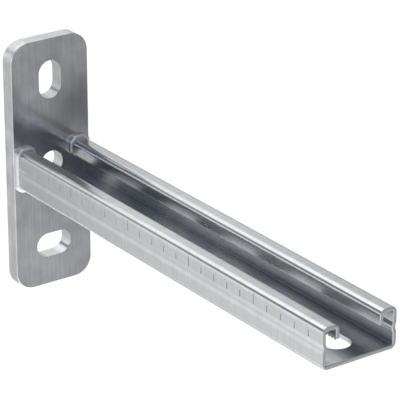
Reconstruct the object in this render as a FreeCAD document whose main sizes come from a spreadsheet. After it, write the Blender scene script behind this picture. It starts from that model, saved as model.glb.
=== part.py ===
"""Cantilever strut arm: a length of slotted strut channel, welded end-on to a drilled wall plate.

Sizes are in millimetres. The origin is the centre of the plate's back face, on the axis of the plate's
middle hole. X runs out of the wall along the arm, Y across it, and Z up towards the channel's mouth.
The channel and the weld are drawn from the plate's front face, where both begin.
"""
import FreeCAD, Part
import math
import os
import re

import Sketcher
from FreeCAD import Vector

# Driving sizes, one named value each
SIZES = {
    # Strut channel: a roll-formed section with two turned-in lips
    "channel_length": 250.0,
    "channel_width": 41.3,
    "channel_height": 20.6,
    "steel_thickness": 2.0,
    "bend_outer_radius": 3.0,
    "bend_inner_radius": 0.4,
    "mouth_width": 22.3,
    "lip_depth": 7.5,
    # Chamfer that deburrs the sawn free end
    "end_break": 0.3,
    # Bead swaged into each side wall at half height
    "bead_depth": 0.55,
    "bead_shoulder_radius": 1.8,
    "bead_valley_radius": 3.8,
    # Teeth along the lips' lower edges
    "tooth_pitch": 2.0,
    "tooth_depth": 0.8,
    "tooth_land": 0.3,
    # Oblong holes along the floor
    "slot_length": 31.0,
    "slot_width": 13.5,
    "slot_pitch": 50.0,
    "slot_from_end": 25.0,
    # Scale of marks on one side wall, counted from the free end
    "mark_pitch": 10.0,
    "mark_width": 0.6,
    "mark_depth": 0.2,
    "mark_foot": 3.0,
    "short_mark": 3.0,
    "long_mark": 5.2,
    "long_mark_pitch": 50.0,
    # Wall plate
    "plate_thickness": 8.0,
    "plate_margin": 1.85,
    "plate_height": 133.4,
    "plate_corner": 10.0,
    "plate_edge": 0.3,
    "hole_diameter": 13.0,
    "plate_slot_width": 13.0,
    "plate_slot_length": 20.2,
    "plate_slot_offset": 45.0,
    # Fillet weld round the channel's end
    "weld_leg": 1.4,
    "weld_top_leg": 1.9,
    "weld_reach": 2.4,
    "weld_round": 1.2,
    "weld_end_flat": 0.1,
}

# Places in the section that more than one piece follows
HALF_WIDTH = "channel_width / 2"
HALF_HEIGHT = "channel_height / 2"
HALF_MOUTH = "mouth_width / 2"
OUTER_BEND = "bend_outer_radius"
INNER_BEND = "bend_inner_radius"
LIP_TIP = "channel_height / 2 - lip_depth"
OUTER_SHOULDER = "bead_shoulder_radius + steel_thickness"
INNER_CROWN = "bead_valley_radius + steel_thickness"
BEAD_RADII = f"({OUTER_SHOULDER} + bead_valley_radius)"
BEAD_RISE = f"sqrt(bead_depth * (2 * {BEAD_RADII} - bead_depth))"

# How a sketch's constraints count the points of a line or an arc, and the sketch's own axes and origin
START, END, CENTRE = range(1, 4)
ACROSS_AXIS, UP_AXIS = range(-1, -3, -1)
ORIGIN = (ACROSS_AXIS, START)

# Anything smaller than this counts as nothing
TOLERANCE = 1e-4

doc = FreeCAD.newDocument("strut_arm")
sheet = doc.addObject("Spreadsheet::Sheet", "Sizes")


def fill_sheet():
    """Write each size into the sheet under its own name."""
    for row, (name, size) in enumerate(SIZES.items(), start=1):
        sheet.set(f"A{row}", name)
        sheet.set(f"B{row}", f"{size:g}")
        sheet.setAlias(f"B{row}", name)
    doc.recompute()


def sized(formula):
    """Return a formula with each size's name pointing at its cell in the sheet."""
    return re.sub(r"\b([a-z]+(?:_[a-z]+)+)\b", r"Sizes.\1", formula)


def number(formula):
    """Return what a formula of sizes comes to."""
    return float(sheet.evalExpression(sized(formula)))


def bind(thing, prop, formula):
    """Make a property follow a formula of sizes."""
    thing.setExpression(prop, sized(formula))


def new_body(label, start="0"):
    """Return an empty body, set out from the plate's back face by a formula."""
    body = doc.addObject("PartDesign::Body", label)
    body.Label = label
    bind(body, "Placement.Base.x", start)
    return body


def origin_feature(body, role):
    """Return one of the body's own origin planes or axes."""
    return next(item for item in body.Origin.OriginFeatures if item.Role == role)


def new_sketch(body, name, plane, offset="0"):
    """Return a sketch on one of the body's planes, moved off it along its normal by a formula."""
    sketch = body.newObject("Sketcher::SketchObject", name)
    sketch.AttachmentSupport = (origin_feature(body, plane), [""])
    sketch.MapMode = "FlatFace"
    bind(sketch, "AttachmentOffset.Base.z", offset)
    return sketch


def dimension(sketch, name, formula, kind, *where):
    """Add a driving dimension that follows a formula."""
    index = sketch.addConstraint(Sketcher.Constraint(kind, *where, number(formula)))
    sketch.renameConstraint(index, name)
    bind(sketch, "Constraints." + name, formula)


def place(sketch, name, formula, kind, element, point):
    """Hold a point off an axis by a formula, on either side of it: DistanceX across or DistanceY up."""
    size = number(formula)
    if abs(size) < TOLERANCE:
        axis = UP_AXIS if kind == "DistanceX" else ACROSS_AXIS
        sketch.addConstraint(Sketcher.Constraint("PointOnObject", element, point, axis))
    elif size > 0:
        dimension(sketch, name, formula, kind, *ORIGIN, element, point)
    else:
        dimension(sketch, name, f"-({formula})", kind, element, point, *ORIGIN)


class Outline:
    """A closed outline of level and upright sides, with bends at its corners and beads in its sides."""

    def __init__(self, sketch):
        self.sketch = sketch
        self.knots = []

    def corner(self, across, up, bend="0"):
        """Go on to a corner, given by formulas, and round it with a bend."""
        self.knots.append({"across": across, "up": up, "bend": bend})

    def bead(self, shoulder, valley):
        """Swage a bead into the upright side that leads to the next corner."""
        self.knots[-1]["bead"] = (shoulder, valley)

    def close(self):
        """Draw the outline and tie every side, bend and bead to the sizes."""
        count = len(self.knots)
        points = [Vector(number(knot["across"]), number(knot["up"]), 0) for knot in self.knots]
        radii = [number(knot["bend"]) for knot in self.knots]
        runs = []
        for i, knot in enumerate(self.knots):
            here, there = points[i], points[(i + 1) % count]
            along = (there - here).normalize()
            run_start = here + along * radii[i]
            run_end = there - along * radii[(i + 1) % count]
            upright = abs(along.x) < abs(along.y)
            if "bead" in knot:
                runs += self._beaded_side(knot, run_start, run_end, i)
            else:
                runs.append(self._side(knot, run_start, run_end, upright, f"side_{i}"))
            if radii[(i + 1) % count] > 0:
                after = points[(i + 2) % count]
                runs.append(self._bend(run_end, there, after, (i + 1) % count))
        for (element, _, leaves, soft), (next_one, enters, _, next_soft) in zip(runs, runs[1:] + runs[:1]):
            kind = "Tangent" if soft or next_soft else "Coincident"
            self.sketch.addConstraint(Sketcher.Constraint(kind, element, leaves, next_one, enters))

    def _side(self, knot, run_start, run_end, upright, name):
        """Draw one straight side, held level or upright and at its distance from the origin."""
        line = self.sketch.addGeometry(Part.LineSegment(run_start, run_end), False)
        self.sketch.addConstraint(Sketcher.Constraint("Vertical" if upright else "Horizontal", line))
        if upright:
            place(self.sketch, name, knot["across"], "DistanceX", line, START)
        else:
            place(self.sketch, name, knot["up"], "DistanceY", line, START)
        return line, START, END, False

    def _arc(self, centre, radius, first, last, forward, name, formula):
        """Draw one arc from its first to its last angle, and say at which end the outline enters it."""
        circle = Part.Circle(centre, Vector(0, 0, 1), radius)
        arc = self.sketch.addGeometry(Part.ArcOfCircle(circle, first, last), False)
        dimension(self.sketch, name, formula, "Radius", arc)
        return (arc, START, END, True) if forward else (arc, END, START, True)

    def _bend(self, run_end, corner, after, index):
        """Draw the bend that rounds one corner."""
        formula = self.knots[index]["bend"]
        radius = number(formula)
        bend_end = corner + (after - corner).normalize() * radius
        centre = run_end + bend_end - corner
        first = math.atan2(run_end.y - centre.y, run_end.x - centre.x)
        last = math.atan2(bend_end.y - centre.y, bend_end.x - centre.x)
        forward = (run_end - centre).cross(bend_end - centre).z > 0
        if not forward:
            first, last = last, first
        return self._arc(centre, radius, first, last, forward, f"bend_{index}", formula)

    def _beaded_side(self, knot, run_start, run_end, index):
        """Draw an upright side as two straight runs with a shoulder, a valley and a shoulder between."""
        shoulder_formula, valley_formula = knot["bead"]
        shoulder, valley = number(shoulder_formula), number(valley_formula)
        rise, depth = number(BEAD_RISE), number("bead_depth")
        sweep = math.atan2(rise, shoulder + valley - depth)
        going_up = run_end.y > run_start.y
        side = run_start.x
        arcs = []
        for name, sign in (("lower", -1), ("upper", 1)):
            first, last = (0, sweep) if sign < 0 else (-sweep, 0)
            centre = Vector(side - shoulder, sign * rise, 0)
            arc = self._arc(centre, shoulder, first, last, going_up,
                            f"{name}_shoulder_{index}", shoulder_formula)
            place(self.sketch, f"{name}_rise_{index}", f"{sign} * {BEAD_RISE}", "DistanceY", arc[0], CENTRE)
            arcs.append(arc)
        centre = Vector(side - depth + valley, 0, 0)
        middle = self._arc(centre, valley, math.pi - sweep, math.pi + sweep, not going_up,
                           f"valley_{index}", valley_formula)
        arcs = [arcs[0], middle, arcs[1]] if going_up else [arcs[1], middle, arcs[0]]
        near, far = (-rise, rise) if going_up else (rise, -rise)
        before = self._side(knot, run_start, Vector(side, near, 0), True, f"side_{index}_before")
        after = self._side(knot, Vector(side, far, 0), run_end, True, f"side_{index}_after")
        return [before] + arcs + [after]


def oblong(sketch, name, across, up, length, width, upright=False):
    """Draw a round-ended hole about a centre, all given by formulas."""
    centre = Vector(number(across), number(up), 0)
    radius = number(width) / 2
    reach = (number(length) - number(width)) / 2
    along = Vector(0, 1, 0) if upright else Vector(1, 0, 0)
    beside = Vector(-along.y, along.x, 0)
    turn = math.atan2(along.y, along.x)
    loop = []
    for sign in (1, -1):
        end = centre + along * reach * sign
        quarter = math.pi / 2
        middle = turn if sign > 0 else turn + 2 * quarter
        circle = Part.Circle(end, Vector(0, 0, 1), radius)
        loop.append(sketch.addGeometry(Part.ArcOfCircle(circle, middle - quarter, middle + quarter), False))
        side_start = end + beside * radius * sign
        side = Part.LineSegment(side_start, side_start - along * 2 * reach * sign)
        loop.append(sketch.addGeometry(side, False))
    for element, next_one in zip(loop, loop[1:] + loop[:1]):
        sketch.addConstraint(Sketcher.Constraint("Tangent", element, END, next_one, START))
    far_end, side, near_end = loop[:3]
    sketch.addConstraint(Sketcher.Constraint("Vertical" if upright else "Horizontal", side))
    sketch.addConstraint(Sketcher.Constraint("Equal", near_end, far_end))
    dimension(sketch, name + "_radius", f"({width}) / 2", "Radius", near_end)
    run = f"(({length}) - ({width})) / 2"
    near_across = across if upright else f"{across} - {run}"
    near_up = f"{up} - {run}" if upright else up
    place(sketch, name + "_across", near_across, "DistanceX", near_end, CENTRE)
    place(sketch, name + "_up", near_up, "DistanceY", near_end, CENTRE)
    kind = "DistanceY" if upright else "DistanceX"
    dimension(sketch, name + "_run", f"2 * {run}", kind, near_end, CENTRE, far_end, CENTRE)


def pad(body, sketch, name, length):
    """Raise a sketch into a solid along its normal."""
    feature = body.newObject("PartDesign::Pad", name)
    feature.Profile = sketch
    bind(feature, "Length", length)
    return feature


def pocket(body, sketch, name, length=None, both_ways=False):
    """Cut a sketch into the solid against its normal, right through unless a length is given."""
    feature = body.newObject("PartDesign::Pocket", name)
    feature.Profile = sketch
    feature.Type = "Length" if length else "ThroughAll"
    if length:
        bind(feature, "Length", length)
    if both_ways:
        feature.SideType = "Symmetric"
    return feature


def mirror(body, feature, name):
    """Repeat a half on the other side of the arm's upright middle plane."""
    copy = body.newObject("PartDesign::Mirrored", name)
    copy.Originals = [feature]
    copy.MirrorPlane = (origin_feature(body, "XZ_Plane"), [""])
    body.Tip = copy
    return copy


def repeat_towards_wall(body, feature, name, pitch, count):
    """Repeat a cut from the free end towards the wall."""
    row = body.newObject("PartDesign::LinearPattern", name)
    row.Originals = [feature]
    row.Direction = (origin_feature(body, "X_Axis"), [""])
    row.Reversed = True
    row.Mode = "Spacing"
    bind(row, "Offset", pitch)
    bind(row, "Occurrences", count)
    body.Tip = row
    return row


def draw_channel_skin(outline):
    """Follow the channel's outer face from the middle of its floor up to the tip of one lip."""
    outline.corner("0", f"-{HALF_HEIGHT}")
    outline.corner(HALF_WIDTH, f"-{HALF_HEIGHT}", OUTER_BEND)
    outline.bead(OUTER_SHOULDER, "bead_valley_radius")
    outline.corner(HALF_WIDTH, HALF_HEIGHT, OUTER_BEND)
    outline.corner(HALF_MOUTH, HALF_HEIGHT, OUTER_BEND)
    outline.corner(HALF_MOUTH, LIP_TIP)


def make_wall_plate():
    """Wall plate: a flat bar with round corners, a round hole and two oblong ones."""
    body = new_body("wall_plate")
    blank = new_sketch(body, "blank_outline", "YZ_Plane")
    half_width, half_height = "(channel_width / 2 + plate_margin)", "plate_height / 2"
    outline = Outline(blank)
    outline.corner(f"-{half_width}", f"-{half_height}", "plate_corner")
    outline.corner(half_width, f"-{half_height}", "plate_corner")
    outline.corner(half_width, half_height, "plate_corner")
    outline.corner(f"-{half_width}", half_height, "plate_corner")
    outline.close()
    blank_pad = pad(body, blank, "blank", "plate_thickness")
    doc.recompute()

    # The rims of the back and front faces are broken before the holes are punched
    rims = [f"Face{i}" for i, face in enumerate(blank_pad.Shape.Faces, start=1)
            if abs(face.normalAt(0, 0).x) > 1 - TOLERANCE]
    broken = body.newObject("PartDesign::Fillet", "broken_edges")
    broken.Base = (blank_pad, rims)
    bind(broken, "Radius", "plate_edge")

    holes = new_sketch(body, "fixing_holes", "YZ_Plane")
    middle = holes.addGeometry(Part.Circle(Vector(), Vector(0, 0, 1), number("hole_diameter / 2")), False)
    holes.addConstraint(Sketcher.Constraint("Coincident", middle, CENTRE, *ORIGIN))
    dimension(holes, "hole", "hole_diameter", "Diameter", middle)
    oblong(holes, "upper", "0", "plate_slot_offset", "plate_slot_length", "plate_slot_width", upright=True)
    oblong(holes, "lower", "0", "-plate_slot_offset", "plate_slot_length", "plate_slot_width")
    punched = pocket(body, holes, "punched_holes")
    punched.Reversed = True
    body.Tip = punched
    return body


def make_strut_channel():
    """Strut channel: the roll-formed section, then its holes, toothed lips and scale of marks."""
    body = new_body("strut_channel", "plate_thickness")
    section = new_sketch(body, "half_section", "YZ_Plane")
    outline = Outline(section)
    draw_channel_skin(outline)
    lip_back = f"{HALF_MOUTH} + steel_thickness"
    flange_underside = f"{HALF_HEIGHT} - steel_thickness"
    wall_inside = f"{HALF_WIDTH} - steel_thickness"
    floor_top = f"steel_thickness - {HALF_HEIGHT}"
    outline.corner(lip_back, LIP_TIP)
    outline.corner(lip_back, flange_underside, INNER_BEND)
    outline.corner(wall_inside, flange_underside, INNER_BEND)
    outline.bead("bead_shoulder_radius", INNER_CROWN)
    outline.corner(wall_inside, floor_top, INNER_BEND)
    outline.corner("0", floor_top)
    outline.close()
    whole = mirror(body, pad(body, section, "half_channel", "channel_length"), "whole_channel")
    doc.recompute()

    # The sawn free end is deburred all round
    sawn = [f"Face{i}" for i, face in enumerate(whole.Shape.Faces, start=1)
            if face.BoundBox.XMin > number("channel_length") - TOLERANCE]
    deburred = body.newObject("PartDesign::Chamfer", "deburred_end")
    deburred.Base = (whole, sawn)
    bind(deburred, "Size", "end_break")

    slot = new_sketch(body, "floor_slot", "XY_Plane")
    oblong(slot, "slot", "channel_length - slot_from_end", "0", "slot_length", "slot_width")
    first_slot = pocket(body, slot, "first_slot")
    repeat_towards_wall(body, first_slot, "floor_slots", "slot_pitch",
                        "floor((channel_length - 2 * slot_from_end) / slot_pitch) + 1")

    for name, height, pitch in (("short", "short_mark", "mark_pitch"),
                                ("long", "long_mark", "long_mark_pitch")):
        mark = new_sketch(body, f"{name}_mark_outline", "XZ_Plane", HALF_WIDTH)
        outline = Outline(mark)
        outline.corner(f"channel_length - {pitch} - mark_width / 2", "mark_foot")
        outline.corner(f"channel_length - {pitch} + mark_width / 2", "mark_foot")
        outline.corner(f"channel_length - {pitch} + mark_width / 2", f"mark_foot + {height}")
        outline.corner(f"channel_length - {pitch} - mark_width / 2", f"mark_foot + {height}")
        outline.close()
        first_mark = pocket(body, mark, f"first_{name}_mark", "mark_depth")
        repeat_towards_wall(body, first_mark, f"{name}_marks", pitch, f"ceil(channel_length / {pitch}) - 1")

    tooth = new_sketch(body, "tooth_gap", "XZ_Plane")
    draw_tooth_gap(tooth)
    first_gap = pocket(body, tooth, "first_tooth_gap", "mouth_width + 4 * steel_thickness", both_ways=True)
    repeat_towards_wall(body, first_gap, "lip_teeth", "tooth_pitch",
                        "floor((channel_length - weld_reach - tooth_pitch) / tooth_pitch) + 1")
    return body


def draw_tooth_gap(sketch):
    """Draw the vee that is pressed out between two teeth of a lip, at the channel's free end."""
    middle, tip = number("channel_length"), number(LIP_TIP)
    half_gap, depth = number("(tooth_pitch - tooth_land) / 2"), number("tooth_depth")
    points = [Vector(middle - half_gap, tip, 0), Vector(middle, tip + depth, 0),
              Vector(middle + half_gap, tip, 0)]
    lines = [sketch.addGeometry(Part.LineSegment(points[i], points[(i + 1) % 3]), False) for i in range(3)]
    for i in range(3):
        sketch.addConstraint(Sketcher.Constraint("Coincident", lines[i], END, lines[(i + 1) % 3], START))
    sketch.addConstraint(Sketcher.Constraint("Horizontal", lines[2]))
    sketch.addConstraint(Sketcher.Constraint("Equal", lines[0], lines[1]))
    place(sketch, "gap_middle", "channel_length", "DistanceX", lines[1], START)
    place(sketch, "gap_root", f"{LIP_TIP} + tooth_depth", "DistanceY", lines[1], START)
    dimension(sketch, "gap_width", "tooth_pitch - tooth_land", "DistanceX", lines[0], START, lines[1], END)
    place(sketch, "gap_mouth", LIP_TIP, "DistanceY", lines[0], START)


def make_weld_seam():
    """Fillet weld: one bead on the plate round the channel's outer face, from lip to lip."""
    body = new_body("weld_seam", "plate_thickness")
    section = new_sketch(body, "half_seam", "YZ_Plane")
    outline = Outline(section)
    draw_channel_skin(outline)
    toe_bend = f"{OUTER_BEND} + weld_leg"
    outline.corner(f"{HALF_MOUTH} - weld_leg", LIP_TIP, "weld_leg - weld_end_flat")
    outline.corner(f"{HALF_MOUTH} - weld_leg", f"{HALF_HEIGHT} + weld_top_leg", toe_bend)
    outline.corner(f"{HALF_WIDTH} + weld_leg", f"{HALF_HEIGHT} + weld_top_leg", toe_bend)
    outline.corner(f"{HALF_WIDTH} + weld_leg", f"-{HALF_HEIGHT} - weld_leg", toe_bend)
    outline.corner("0", f"-{HALF_HEIGHT} - weld_leg")
    outline.close()
    whole = mirror(body, pad(body, section, "half_bead", "weld_reach"), "whole_bead")
    doc.recompute()

    # The bead's front is rounded over along its toe, which lies off the channel's skin
    front = number("weld_reach")
    section_solid = doc.getObject("whole_channel").Shape
    toe = []
    for i, edge in enumerate(whole.Shape.Edges, start=1):
        middle = edge.valueAt((edge.FirstParameter + edge.LastParameter) / 2)
        on_front = abs(edge.BoundBox.XMin - front) < TOLERANCE
        off_channel = section_solid.distToShape(Part.Vertex(middle))[0] > TOLERANCE
        if on_front and off_channel:
            toe.append(f"Edge{i}")
    rounded = body.newObject("PartDesign::Fillet", "rounded_bead")
    rounded.Base = (whole, toe)
    bind(rounded, "Radius", "weld_round")
    body.Tip = rounded
    return body


def check(bodies):
    """Stop if anything failed to build, or if a cut took nothing away."""
    for item in doc.Objects:
        if "Invalid" in item.State or "Error" in item.State:
            raise RuntimeError(f"{item.Name} failed: {item.State}")
    for body in bodies:
        if body.Shape.isNull() or not body.Shape.isValid():
            raise RuntimeError(f"{body.Label} is not a valid solid")
        before = None
        for feature in body.Group:
            if feature.TypeId in ("PartDesign::Pocket", "PartDesign::LinearPattern"):
                if not feature.Shape.Volume < before - TOLERANCE:
                    raise RuntimeError(f"{feature.Name} cut nothing")
            if feature.isDerivedFrom("PartDesign::Feature"):
                before = feature.Shape.Volume


fill_sheet()
pieces = [make_wall_plate(), make_strut_channel(), make_weld_seam()]
doc.recompute()
check(pieces)
os.makedirs("parts", exist_ok=True)
for piece in pieces:
    piece.Shape.exportStep(f"parts/{piece.Label}.step")
    print(piece.Label, "volume", round(piece.Shape.Volume, 1))
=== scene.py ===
"""Looks of the cantilever strut arm: a slotted, toothed strut channel welded to a drilled wall plate.

The three solids come in as a fixed frame, in metres, with the origin at the centre of the plate's back
face, X out of the wall along the arm and Z up. They keep their shapes. This script gives them their zinc
finishes, and adds the floor, the light and the camera.
"""

import logging
import math
from dataclasses import dataclass
from enum import Enum

import bmesh
import bpy
from mathutils import Matrix, Vector


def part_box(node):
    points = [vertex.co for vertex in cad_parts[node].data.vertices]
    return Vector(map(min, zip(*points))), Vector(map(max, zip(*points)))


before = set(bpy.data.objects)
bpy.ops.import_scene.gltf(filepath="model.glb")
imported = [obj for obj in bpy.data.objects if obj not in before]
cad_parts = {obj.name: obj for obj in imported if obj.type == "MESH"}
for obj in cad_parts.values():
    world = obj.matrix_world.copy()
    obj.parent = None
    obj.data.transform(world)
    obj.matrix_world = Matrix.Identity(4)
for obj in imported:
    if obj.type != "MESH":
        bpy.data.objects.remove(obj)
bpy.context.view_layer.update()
LOG = logging.getLogger("strut_arm")
MM = 0.001

Tree = bpy.types.NodeTree
Socket = bpy.types.NodeSocket

# A Mix node has several sockets of one name, so its colour sockets are called by their numbers.
MIX_SHARE = 0
MIX_UNDER = 6
MIX_OVER = 7
MIX_RESULT = 2

# Nearly all of a noise's values lie between these two, and the finishes use that part in full.
NOISE_LOW = 0.35
NOISE_HIGH = 0.65
MOTTLE_DETAIL = 3.0
FINE_DETAIL = 2.0

# Rays that each shading point spends on rounding its edges and on looking for nooks.
SURFACE_SAMPLES = 4


def linear(colour: str) -> tuple[float, float, float, float]:
    """Turn an sRGB hex colour into linear red, green, blue and alpha.

    Args:
        colour: six hex digits after a hash sign.

    Returns:
        The colour that a shader socket takes.
    """
    channels = (int(colour[i:i + 2], 16) / 255 for i in (1, 3, 5))
    toe, slope, offset, power = 0.04045, 12.92, 0.055, 2.4
    red, green, blue = (c / slope if c <= toe else ((c + offset) / (1 + offset)) ** power for c in channels)
    return red, green, blue, 1.0


def noise_scale(blotch_mm: float) -> float:
    """Give the scale at which a noise texture has blotches of a real size.

    Args:
        blotch_mm: the size of one blotch in millimetres.

    Returns:
        How many blotches there are in a metre.
    """
    return 1 / (blotch_mm * MM)


def add_node(tree: Tree, kind: str, values: dict[str | int, object] | None = None,
             links: dict[str | int, Socket] | None = None, **settings: object) -> bpy.types.Node:
    """Add a node with its settings, its socket values and its links.

    Args:
        tree: the node tree that takes it.
        kind: the node's type name.
        values: socket name or number to the value it holds.
        links: socket name or number to the output socket that feeds it.
        settings: properties of the node itself.

    Returns:
        The new node.
    """
    node = tree.nodes.new(kind)
    for name, value in settings.items():
        setattr(node, name, value)
    for socket, value in (values or {}).items():
        node.inputs[socket].default_value = value
    for socket, source in (links or {}).items():
        tree.links.new(source, node.inputs[socket])
    return node


class Grain(Enum):
    """The way a surface's fine lines run: how fast their noise changes along X, Y and Z."""

    ROUND_THE_SECTION = (1.0, 0.05, 0.05)
    DOWN_THE_FACE = (0.3, 1.0, 0.04)
    NONE = (1.0, 1.0, 1.0)


@dataclass(frozen=True)
class ShadePatch:
    """A round patch of painted shade, at its darkest in the middle."""

    centre_mm: tuple[float, float, float]
    radius_mm: float
    tone: str

    def lay(self, tree: Tree, place: Socket, unshaded: Socket) -> Socket:
        """Lay the patch of painted shade over a colour, at its full tone in the middle and fading to the
        rim.

        Args:
            tree: the material's node tree.
            place: the coordinates of the surface.
            unshaded: the colour without the patch.

        Returns:
            The colour with the patch in place.
        """
        centre = tuple(length * MM for length in self.centre_mm)
        away = add_node(tree, "ShaderNodeVectorMath", {1: centre}, {0: place}, operation="DISTANCE")
        cover = add_node(tree, "ShaderNodeMapRange", {"From Min": self.radius_mm * MM, "From Max": 0.0},
                         {"Value": away.outputs["Value"]}, interpolation_type="SMOOTHSTEP")
        shaded = add_node(tree, "ShaderNodeMix", {MIX_OVER: linear(self.tone)},
                           {MIX_SHARE: cover.outputs["Result"], MIX_UNDER: unshaded},
                           data_type="RGBA", blend_type="MULTIPLY")
        return shaded.outputs[MIX_RESULT]


@dataclass(frozen=True)
class SawnEnd:
    """The end face that the saw has left, rougher and darker than the zinc beside it."""

    from_mm: float
    roughness: float
    tone: str

    def lay(self, tree: Tree, along: Socket, roughness: Socket, colour: Socket) -> tuple[Socket, Socket]:
        """Change the zinc to sawn steel past the cut.

        Args:
            tree: the material's node tree.
            along: the distance of the surface from the wall.
            roughness: the roughness of the zinc.
            colour: the colour of the zinc.

        Returns:
            The roughness and the colour with the sawn end in place.
        """
        past = add_node(tree, "ShaderNodeMath", {1: self.from_mm * MM}, {0: along}, operation="GREATER_THAN")
        cut = past.outputs["Value"]
        rough = add_node(tree, "ShaderNodeMix", {"B": self.roughness}, {"Factor": cut, "A": roughness},
                         data_type="FLOAT")
        steel = add_node(tree, "ShaderNodeMix", {MIX_OVER: linear(self.tone)},
                         {MIX_SHARE: cut, MIX_UNDER: colour}, data_type="RGBA")
        return rough.outputs["Result"], steel.outputs[MIX_RESULT]


@dataclass(frozen=True)
class NookShade:
    """Painted shade in nooks, corners and engraved marks, from ambient occlusion."""

    reach_mm: float
    starts_mm: float | None = None
    full_mm: float | None = None

    def lay(self, tree: Tree, along: Socket, unshaded: Socket) -> Socket:
        """Paint shade into the nooks of a colour, all over or more and more along the arm.

        Args:
            tree: the material's node tree.
            along: the distance of the surface from the wall.
            unshaded: the colour without the painted shade.

        Returns:
            The colour with the painted shade in place.
        """
        nooks = add_node(tree, "ShaderNodeAmbientOcclusion", {"Distance": self.reach_mm * MM},
                         {"Color": unshaded}, samples=SURFACE_SAMPLES, only_local=True)
        if self.starts_mm is None or self.full_mm is None:
            return nooks.outputs["Color"]
        rise = add_node(tree, "ShaderNodeMapRange",
                        {"From Min": self.starts_mm * MM, "From Max": self.full_mm * MM}, {"Value": along})
        darkened_nooks = add_node(tree, "ShaderNodeMix", None,
                          {MIX_SHARE: rise.outputs["Result"], MIX_UNDER: unshaded,
                           MIX_OVER: nooks.outputs["Color"]}, data_type="RGBA")
        return darkened_nooks.outputs[MIX_RESULT]


@dataclass(frozen=True)
class ZincFinish:
    """Zinc on steel: a metal whose tone and sheen waver together, with pits and softened edges."""

    name: str
    light: str
    dark: str
    roughness: float
    roughness_swing: float
    mottle_mm: float
    line_mm: float
    line_share: float
    grain: Grain
    pit_mm: float
    pit_depth_mm: float
    edge_mm: float = 0.25
    # Ambient occlusion paints shade into the nooks; the patch, where there is one, is painted shade as well.
    nook_shade: NookShade = NookShade(reach_mm=0.8)
    painted_shade: ShadePatch | None = None
    sawn: SawnEnd | None = None

    def waver(self, tree: Tree, place: Socket) -> Socket:
        """Blend the mottle and the fine lines.

        Args:
            tree: the material's node tree.
            place: the coordinates of the surface.

        Returns:
            A value from 0, where the zinc is dark and dull, to 1, where it is light and bright.
        """
        mottle = add_node(tree, "ShaderNodeTexNoise",
                          {"Scale": noise_scale(self.mottle_mm), "Detail": MOTTLE_DETAIL}, {"Vector": place})
        drawn = add_node(tree, "ShaderNodeMapping", {"Scale": self.grain.value}, {"Vector": place})
        lines = add_node(tree, "ShaderNodeTexNoise",
                         {"Scale": noise_scale(self.line_mm), "Detail": FINE_DETAIL},
                         {"Vector": drawn.outputs["Vector"]})
        blend = add_node(tree, "ShaderNodeMix", {"Factor": self.line_share},
                         {"A": mottle.outputs["Fac"], "B": lines.outputs["Fac"]}, data_type="FLOAT")
        spread = add_node(tree, "ShaderNodeMapRange", {"From Min": NOISE_LOW, "From Max": NOISE_HIGH},
                          {"Value": blend.outputs["Result"]})
        return spread.outputs["Result"]

    def relief(self, tree: Tree, place: Socket) -> Socket:
        """Press the pits into the surface and round its edges.

        Args:
            tree: the material's node tree.
            place: the coordinates of the surface.

        Returns:
            The way the surface faces.
        """
        pits = add_node(tree, "ShaderNodeTexNoise",
                        {"Scale": noise_scale(self.pit_mm), "Detail": FINE_DETAIL}, {"Vector": place})
        soft_edge = add_node(tree, "ShaderNodeBevel", {"Radius": self.edge_mm * MM}, samples=SURFACE_SAMPLES)
        bump = add_node(tree, "ShaderNodeBump", {"Strength": 1.0, "Distance": self.pit_depth_mm * MM},
                        {"Height": pits.outputs["Fac"], "Normal": soft_edge.outputs["Normal"]})
        return bump.outputs["Normal"]

    def material(self) -> bpy.types.Material:
        """Build the finish.

        Returns:
            The node material that a piece takes.
        """
        material = bpy.data.materials.new(self.name)
        material.use_nodes = True
        tree = material.node_tree
        tree.nodes.clear()
        place = add_node(tree, "ShaderNodeTexCoord").outputs["Object"]
        along = add_node(tree, "ShaderNodeSeparateXYZ", None, {"Vector": place}).outputs["X"]
        waver = self.waver(tree, place)
        zinc = add_node(tree, "ShaderNodeMix", {MIX_UNDER: linear(self.dark), MIX_OVER: linear(self.light)},
                        {MIX_SHARE: waver}, data_type="RGBA")
        sheen = add_node(tree, "ShaderNodeMapRange",
                         {"To Min": self.roughness + self.roughness_swing,
                          "To Max": self.roughness - self.roughness_swing}, {"Value": waver})
        colour, roughness = zinc.outputs[MIX_RESULT], sheen.outputs["Result"]
        if self.sawn:
            roughness, colour = self.sawn.lay(tree, along, roughness, colour)
        # Painted shade: a round darker patch, then darkening in the nooks.
        if self.painted_shade:
            colour = self.painted_shade.lay(tree, place, colour)
        colour = self.nook_shade.lay(tree, along, colour)
        shader = add_node(tree, "ShaderNodeBsdfPrincipled", {"Metallic": 1.0},
                          {"Base Color": colour, "Roughness": roughness,
                           "Normal": self.relief(tree, place)})
        add_node(tree, "ShaderNodeOutputMaterial", None, {"Surface": shader.outputs["BSDF"]})
        return material


@dataclass
class ZincPiece:
    """A solid of the frame that keeps its shape and takes a zinc finish."""

    node: str

    def finish(self) -> ZincFinish:
        """Give the finish of this piece."""
        raise NotImplementedError

    def dress(self) -> None:
        """Put the finish on every face of the solid."""
        material = self.finish().material()
        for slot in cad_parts[self.node].material_slots:
            slot.material = material

    def report(self) -> str:
        """Say what the piece wears and how large it is.

        Returns:
            One line for the log.
        """
        low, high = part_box(self.node)
        span = " x ".join(f"{(b - a) / MM:.1f}" for a, b in zip(low, high))
        return f"{self.node}: {self.finish().name}, {span} mm"


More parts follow.
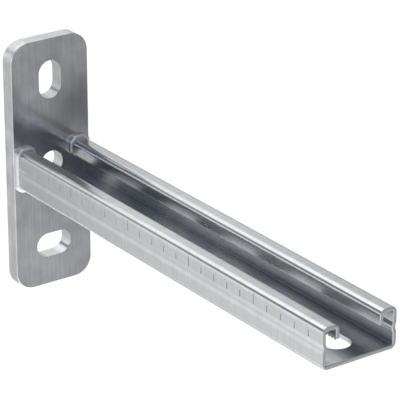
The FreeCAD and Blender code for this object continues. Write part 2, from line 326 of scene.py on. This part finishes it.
@dataclass
class WallPlate(ZincPiece):
    """The drilled plate that is fixed to the wall."""

    node: str = "wall_plate"
    thickness_mm: float = 8.0
    shade_side_mm: float = 17.0
    shade_height_mm: float = 27.0
    shade_radius_mm: float = 32.0

    def finish(self) -> ZincFinish:
        """Give the finish of galvanised flat bar.

        Returns:
            A smooth zinc with streaks down the plate and a patch of painted shade above the far corner of
            the weld.
        """
        # Steel flat bar, drawn and then galvanised. The drawing leaves streaks down the bar under the zinc,
        # and the eye gets a light grey, nearly mirror-smooth metal whose reflections are drawn out in them.
        # Real streaks are about 0.1 mm wide, too fine to show, so they are drawn 0.9 mm wide. The mottle and
        # the pits are as large as those of real zinc.
        # The patch is painted shade on the plate, by the arm above the far corner of the weld.
        shade_patch = ShadePatch((self.thickness_mm, self.shade_side_mm, self.shade_height_mm), self.shade_radius_mm,
                         "#bababb")
        return ZincFinish("galvanised_flat_bar", light="#eeeeef", dark="#cbcccd",
                          roughness=0.16, roughness_swing=0.03, mottle_mm=12.0, line_mm=0.9, line_share=0.35,
                          grain=Grain.DOWN_THE_FACE, pit_mm=0.8, pit_depth_mm=0.002, painted_shade=shade_patch)


@dataclass
class StrutChannel(ZincPiece):
    """The arm, a length of slotted and toothed strut channel."""

    node: str = "strut_channel"
    starts_mm: float = 8.0
    length_mm: float = 250.0
    burr_mm: float = 0.35
    shade_radius_mm: float = 130.0
    nook_shade_starts_mm: float = 20.0
    nook_shade_full_mm: float = 180.0

    def finish(self) -> ZincFinish:
        """Give the finish of galvanised rolled strip.

        Returns:
            A soft zinc with lines round the section, painted shade near the wall, a sawn end and painted
            shade in its nooks.
        """
        # Galvanised steel strip, roll-formed cold. Its zinc has fine marks across the strip, which run
        # round the section, and the eye gets a light grey metal with blurred reflections and a faint cross
        # grain. Real marks are about 0.2 mm wide, too fine to show, so they are drawn 1.1 mm wide.
        # The patch is painted shade on the channel near the wall, and the nook shading is painted shade that
        # grows along the arm.
        shade_patch = ShadePatch((self.starts_mm, 0.0, 0.0), self.shade_radius_mm, "#e0e0e1")
        saw = SawnEnd(self.starts_mm + self.length_mm - self.burr_mm, roughness=0.45, tone="#c2c4c6")
        nook_shade = NookShade(reach_mm=6.0, starts_mm=self.nook_shade_starts_mm, full_mm=self.nook_shade_full_mm)
        return ZincFinish("galvanised_rolled_strip", light="#e8e9ea", dark="#dadcdd",
                          roughness=0.22, roughness_swing=0.02, mottle_mm=7.0, line_mm=1.1, line_share=0.5,
                          grain=Grain.ROUND_THE_SECTION, pit_mm=0.9, pit_depth_mm=0.002,
                          nook_shade=nook_shade, painted_shade=shade_patch, sawn=saw)


@dataclass
class WeldSeam(ZincPiece):
    """The fillet weld that joins the channel to the plate."""

    node: str = "weld_seam"

    def finish(self) -> ZincFinish:
        """Give the finish of a weld bead sprayed with zinc.

        Returns:
            A duller zinc with pits and ripples that run no way in particular.
        """
        # A steel weld bead, brushed clean and sprayed with zinc. The spray dries matt over the bead's
        # ripples, and the eye gets a pale, duller line with small broken highlights. The ripples are about
        # 1 mm wide, as on a real bead, and the spray's grain of about 0.1 mm is drawn 0.5 mm wide, to show.
        return ZincFinish("zinc_sprayed_weld_bead", light="#e0e1e3", dark="#d2d4d6",
                          roughness=0.42, roughness_swing=0.05, mottle_mm=2.0, line_mm=0.5, line_share=0.3,
                          grain=Grain.NONE, pit_mm=1.2, pit_depth_mm=0.02)


@dataclass(frozen=True)
class Card:
    """A round softbox, scrim or flag that stands before the white dome, with a feathered rim.

    Its place and its reach from middle to rim are in degrees, seen from the object. Its core is the share
    of the reach that isn't feathered.
    """

    name: str
    azimuth: float
    elevation: float
    reach: float
    core: float
    colour: str
    strength: float = 1.0

    def lay(self, tree: Tree, direction: Socket, behind: Socket) -> Socket:
        """Lay the card over what stands behind it.

        Args:
            tree: the world's node tree.
            direction: where a ray goes.
            behind: the colour of the dome with the cards behind this one.

        Returns:
            The colour with this card in place.
        """
        azimuth, elevation = math.radians(self.azimuth), math.radians(self.elevation)
        axis = (math.cos(azimuth) * math.cos(elevation), math.sin(azimuth) * math.cos(elevation),
                math.sin(elevation))
        facing = add_node(tree, "ShaderNodeVectorMath", {1: axis}, {0: direction}, operation="DOT_PRODUCT")
        rim, heart = (math.cos(math.radians(angle)) for angle in (self.reach, self.reach * self.core))
        cover = add_node(tree, "ShaderNodeMapRange", {"From Min": rim, "From Max": heart},
                         {"Value": facing.outputs["Value"]}, interpolation_type="SMOOTHSTEP")
        red, green, blue, alpha = linear(self.colour)
        glow = (self.strength * red, self.strength * green, self.strength * blue, alpha)
        layer = add_node(tree, "ShaderNodeMix", {MIX_OVER: glow},
                         {MIX_SHARE: cover.outputs["Result"], MIX_UNDER: behind}, data_type="RGBA")
        return layer.outputs[MIX_RESULT]


@dataclass
class Studio:
    """The floor, the dome of light with its cards, and the camera.

    Lengths are in metres, but for the lens and the sensor. Sight is how near and how far the camera sees.
    """

    floor_drop: float = 0.25
    floor_half: float = 6.0
    paper_tone: str = "#959595"
    paper_glow: float = 0.85
    lens_mm: float = 225.2
    sensor_mm: float = 36.0
    sight: tuple[float, float] = (0.05, 50.0)
    eye: tuple[float, float, float] = (1.0144, -0.6223, 0.4777)
    target: tuple[float, float, float] = (0.13821, 0.0, 0.02408)
    dome_tone: str = "#ffffff"
    cards: tuple[Card, ...] = (
        Card("front_left_softbox", 315.0, 30.0, 50.0, 0.4, "#e6f0ff", 2.0),
        Card("low_right_softbox", 90.0, -70.0, 70.0, 0.6, "#f8faff", 2.4),
        Card("back_scrim", 180.0, -20.0, 55.0, 0.3, "#c6c6c8"),
        Card("low_left_softbox", 230.0, -55.0, 30.0, 0.3, "#ffffff", 1.4),
        Card("top_softbox", 245.0, 85.0, 55.0, 0.3, "#f2f7ff", 1.85),
        Card("right_scrim", 75.0, 10.0, 80.0, 0.6, "#939496"),
        Card("camera_flag", 305.0, 45.0, 45.0, 0.6, "#3c4350"),
        Card("left_flag", 225.0, 30.0, 20.0, 0.5, "#525b6a"),
    )

    def add_camera(self) -> None:
        """Stand the camera where the photograph was taken from."""
        data = bpy.data.cameras.new("camera")
        data.lens = self.lens_mm
        data.sensor_width = self.sensor_mm
        data.clip_start, data.clip_end = self.sight
        camera = bpy.data.objects.new("camera", data)
        bpy.context.scene.collection.objects.link(camera)
        camera.location = self.eye
        camera.rotation_euler = (Vector(self.target) - Vector(self.eye)).to_track_quat("-Z", "Y").to_euler()
        bpy.context.scene.camera = camera

    def add_floor(self) -> None:
        """Lay the floor, white to the camera and keeping the object's shadow."""
        sheet = bmesh.new()
        bmesh.ops.create_grid(sheet, x_segments=1, y_segments=1, size=self.floor_half,
                              matrix=Matrix.Translation((0.0, 0.0, -self.floor_drop)))
        mesh = bpy.data.meshes.new("floor")
        sheet.to_mesh(mesh)
        sheet.free()
        floor = bpy.data.objects.new("floor", mesh)
        bpy.context.scene.collection.objects.link(floor)
        # The floor keeps out of the metal's reflections and doesn't shade the arm from the light below.
        floor.visible_glossy = False
        floor.visible_shadow = False
        # Uncoated white paper, pressed smooth: it spreads all light evenly, and the eye gets a plain white
        # with no sheen. Part of its white is a glow, so that the object's shadow on it stays faint.
        material = bpy.data.materials.new("white_paper")
        material.use_nodes = True
        tree = material.node_tree
        tree.nodes.clear()
        paper = add_node(tree, "ShaderNodeBsdfDiffuse", {"Color": linear(self.paper_tone)})
        glow = add_node(tree, "ShaderNodeEmission", {"Strength": self.paper_glow})
        both = add_node(tree, "ShaderNodeAddShader", None,
                        {0: paper.outputs["BSDF"], 1: glow.outputs["Emission"]})
        add_node(tree, "ShaderNodeOutputMaterial", None, {"Surface": both.outputs["Shader"]})
        mesh.materials.append(material)

    def add_world(self) -> None:
        """Light the dome: plain white to the camera, and white with the cards before it to the metal."""
        world = bpy.data.worlds.new("studio")
        bpy.context.scene.world = world
        world.use_nodes = True
        tree = world.node_tree
        tree.nodes.clear()
        direction = add_node(tree, "ShaderNodeTexCoord").outputs["Generated"]
        dome = add_node(tree, "ShaderNodeRGB").outputs["Color"]
        dome.default_value = linear(self.dome_tone)
        for card in self.cards:
            dome = card.lay(tree, direction, dome)
        # Only the camera's own rays see the plain backdrop, so the cards stay in what the metal reflects.
        light = add_node(tree, "ShaderNodeBackground", None, {"Color": dome})
        backdrop = add_node(tree, "ShaderNodeBackground", {"Color": linear(self.dome_tone)})
        seen = add_node(tree, "ShaderNodeLightPath").outputs["Is Camera Ray"]
        mix = add_node(tree, "ShaderNodeMixShader", None,
                       {0: seen, 1: light.outputs["Background"], 2: backdrop.outputs["Background"]})
        add_node(tree, "ShaderNodeOutputWorld", None, {"Surface": mix.outputs["Shader"]})

    def build(self) -> None:
        """Set up the whole studio."""
        self.add_camera()
        self.add_floor()
        self.add_world()
        bpy.context.scene.view_settings.view_transform = "Standard"


def main() -> None:
    """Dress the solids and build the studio."""
    logging.basicConfig(level=logging.INFO, format="%(message)s")
    for piece in (WallPlate(), StrutChannel(), WeldSeam()):
        piece.dress()
        LOG.info(piece.report())
    studio = Studio()
    studio.build()
    for card in studio.cards:
        LOG.info("%s at azimuth %.0f and elevation %.0f", card.name, card.azimuth, card.elevation)


if __name__ == "__main__":
    main()
